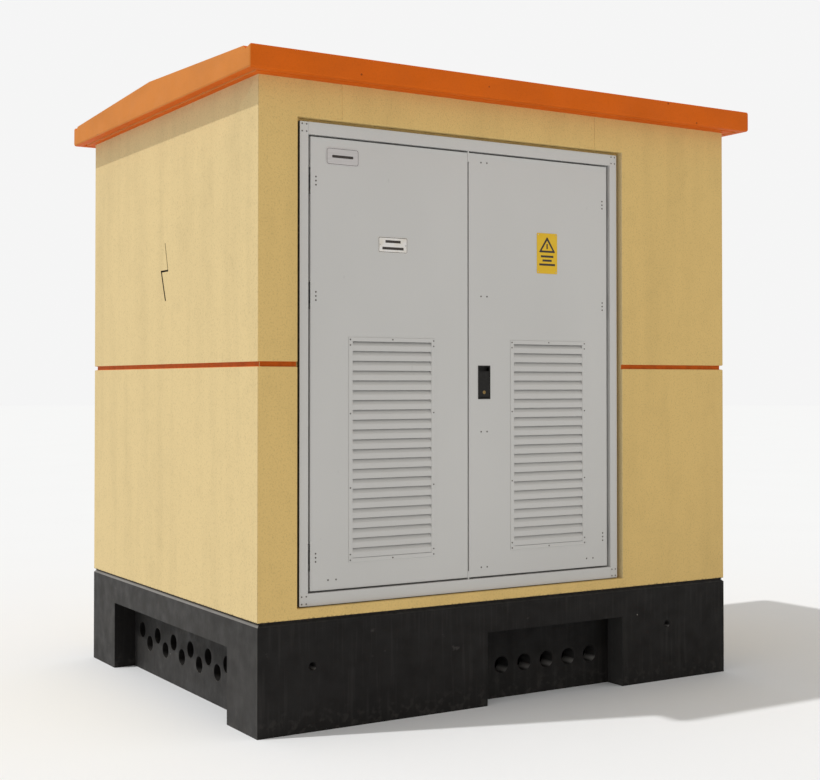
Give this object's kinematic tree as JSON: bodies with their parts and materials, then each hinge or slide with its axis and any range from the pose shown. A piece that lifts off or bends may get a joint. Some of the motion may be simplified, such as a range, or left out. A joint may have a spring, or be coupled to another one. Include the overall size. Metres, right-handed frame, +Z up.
{
  "type": "compact transformer substation kiosk",
  "caption": "Precast concrete substation kiosk on a black plinth, with an orange roof slab, louvred steel double doors and an oil transformer on rails inside.",
  "frame": {"origin": "centre of the plinth's underside, on the ground", "axes": "+Z up; the doors face -Y; the side with the zigzag groove is the -X side"},
  "size_m": [2.88, 2.31, 2.988],
  "materials": {
    "plinth_paint": "black painted concrete",
    "bare_concrete": "bare concrete",
    "ochre_render": "textured masonry paint",
    "orange_paint": "masonry paint",
    "door_grey": "powder coat, satin",
    "zinc_plate": "zinc plated",
    "bare_steel": "oiled",
    "black_rubber": "matt",
    "black_plastic": "fine grained",
    "lock_brass": "machined",
    "plate_silver": "anodised",
    "plate_white": "satin",
    "plate_yellow": "satin",
    "tank_paint": "satin",
    "core_steel": "laminated",
    "winding_copper": "enamelled",
    "porcelain": "glazed",
    "copper_bar": "bright",
    "valve_red": "gloss"
  },
  "bodies": {
    "kiosk": {"base_plinth": "plinth_paint", "cable_entry_panels": "plinth_paint", "floor_slab": "bare_concrete", "left_wall": "ochre_render", "right_wall": "ochre_render", "rear_wall": "ochre_render", "front_wall": "ochre_render", "roof_slab": "orange_paint", "frame_stiles": "door_grey", "frame_rails": "door_grey", "frame_rivets": "zinc_plate", "door_seal": "black_rubber", "hinge_frame_halves": "zinc_plate", "hinge_pins": "bare_steel", "transformer_tank": "tank_paint", "cooling_walls": "tank_paint", "tank_cover": "tank_paint", "cover_bolts": "zinc_plate", "core": "core_steel", "lv_windings": "winding_copper", "hv_windings": "winding_copper", "hv_bushings": "porcelain", "lv_bushings": "porcelain", "bushing_terminals": "lock_brass", "undercarriage": "tank_paint", "wheel_rails": "zinc_plate", "drain_valve": "lock_brass", "oil_gauge": "plate_white", "earth_bar": "copper_bar"},
    "left_leaf": {"left_leaf_panel": "door_grey", "left_leaf_stiffeners": "zinc_plate", "left_grille_frame": "door_grey", "left_grille_blades": "door_grey", "left_leaf_fasteners": "zinc_plate", "left_hinge_leaf_halves": "zinc_plate", "maker_plate": "plate_silver", "room_plate": "plate_white"},
    "right_leaf": {"right_leaf_panel": "door_grey", "right_leaf_stiffeners": "zinc_plate", "right_grille_frame": "door_grey", "right_grille_blades": "door_grey", "right_leaf_fasteners": "zinc_plate", "right_hinge_leaf_halves": "zinc_plate", "warning_plate": "plate_yellow", "handle_housing": "black_plastic", "paddle_pin": "bare_steel", "latch_case": "zinc_plate"},
    "paddle": {"handle_paddle": "black_plastic"},
    "lock_barrel": {"lock_cylinder": "lock_brass"},
    "cam": {"latch_cam": "bare_steel"},
    "top_rod": {"top_latch_rod": "bare_steel"},
    "bottom_rod": {"bottom_latch_rod": "bare_steel"},
    "top_bolt": {"top_shoot_bolt": "bare_steel"},
    "bottom_bolt": {"bottom_shoot_bolt": "bare_steel"},
    "left_stay": {"left_stay_arm": "zinc_plate"},
    "right_stay": {"right_stay_arm": "zinc_plate"},
    "front_wheels": {"front_wheelset": "bare_steel"},
    "rear_wheels": {"rear_wheelset": "bare_steel"},
    "tap_knob": {"tap_changer_knob": "black_plastic"},
    "valve_handwheel": {"valve_wheel": "valve_red"}
  },
  "joints": [
    {"name": "left_leaf_hinge", "type": "hinge", "parent": "kiosk", "child": "left_leaf", "pos_m": [-1.063, -1.01, 1.605], "axis": [0, 0, -1], "range_deg": [0, 110]},
    {"name": "right_leaf_hinge", "type": "hinge", "parent": "kiosk", "child": "right_leaf", "pos_m": [0.565, -1.01, 1.605], "axis": [0, 0, 1], "range_deg": [0, 110]},
    {"name": "paddle_lift", "type": "hinge", "parent": "right_leaf", "child": "paddle", "pos_m": [-0.159, -1.016, 1.453], "axis": [1, 0, 0], "range_deg": [0, 40]},
    {"name": "lock_turn", "type": "hinge", "parent": "paddle", "child": "lock_barrel", "pos_m": [-0.159, -1.016, 1.472], "axis": [0, 1, 0], "range_deg": [0, 90]},
    {"name": "cam_turn", "type": "hinge", "parent": "right_leaf", "child": "cam", "pos_m": [-0.159, -0.985, 1.5], "axis": [0, 1, 0], "range_deg": [0, 40]},
    {"name": "top_rod_slide", "type": "slide", "parent": "right_leaf", "child": "top_rod", "axis": [0, 0, -1], "range_m": [0, 0.018]},
    {"name": "bottom_rod_slide", "type": "slide", "parent": "right_leaf", "child": "bottom_rod", "axis": [0, 0, 1], "range_m": [0, 0.018]},
    {"name": "top_bolt_slide", "type": "slide", "parent": "left_leaf", "child": "top_bolt", "axis": [0, 0, 1], "range_m": [0, 0.02]},
    {"name": "bottom_bolt_slide", "type": "slide", "parent": "left_leaf", "child": "bottom_bolt", "axis": [0, 0, -1], "range_m": [0, 0.02]},
    {"name": "left_stay_swing", "type": "hinge", "parent": "left_leaf", "child": "left_stay", "pos_m": [-0.974, -0.976, 0.667], "axis": [0, 0, 1], "range_deg": [0, 80]},
    {"name": "right_stay_swing", "type": "hinge", "parent": "right_leaf", "child": "right_stay", "pos_m": [0.476, -0.976, 0.667], "axis": [0, 0, -1], "range_deg": [0, 80]},
    {"name": "front_wheels_roll", "type": "hinge", "parent": "kiosk", "child": "front_wheels", "pos_m": [-0.24, -0.19, 0.68], "axis": [1, 0, 0], "continuous": true},
    {"name": "rear_wheels_roll", "type": "hinge", "parent": "kiosk", "child": "rear_wheels", "pos_m": [-0.24, 0.31, 0.68], "axis": [1, 0, 0], "continuous": true},
    {"name": "tap_knob_turn", "type": "hinge", "parent": "kiosk", "child": "tap_knob", "pos_m": [-0.11, 0.06, 1.824], "axis": [0, 0, 1], "range_deg": [0, 144]},
    {"name": "valve_wheel_turn", "type": "hinge", "parent": "kiosk", "child": "valve_handwheel", "pos_m": [-0.09, -0.21, 0.87], "axis": [0, 0, 1], "continuous": true}
  ],
  "couplings": [
    {"joint": "cam_turn", "follows": "paddle_lift", "ratio": 1},
    {"joint": "top_rod_slide", "follows": "paddle_lift", "m_per_rad": 0.0257},
    {"joint": "bottom_rod_slide", "follows": "paddle_lift", "m_per_rad": 0.0257}
  ]
}
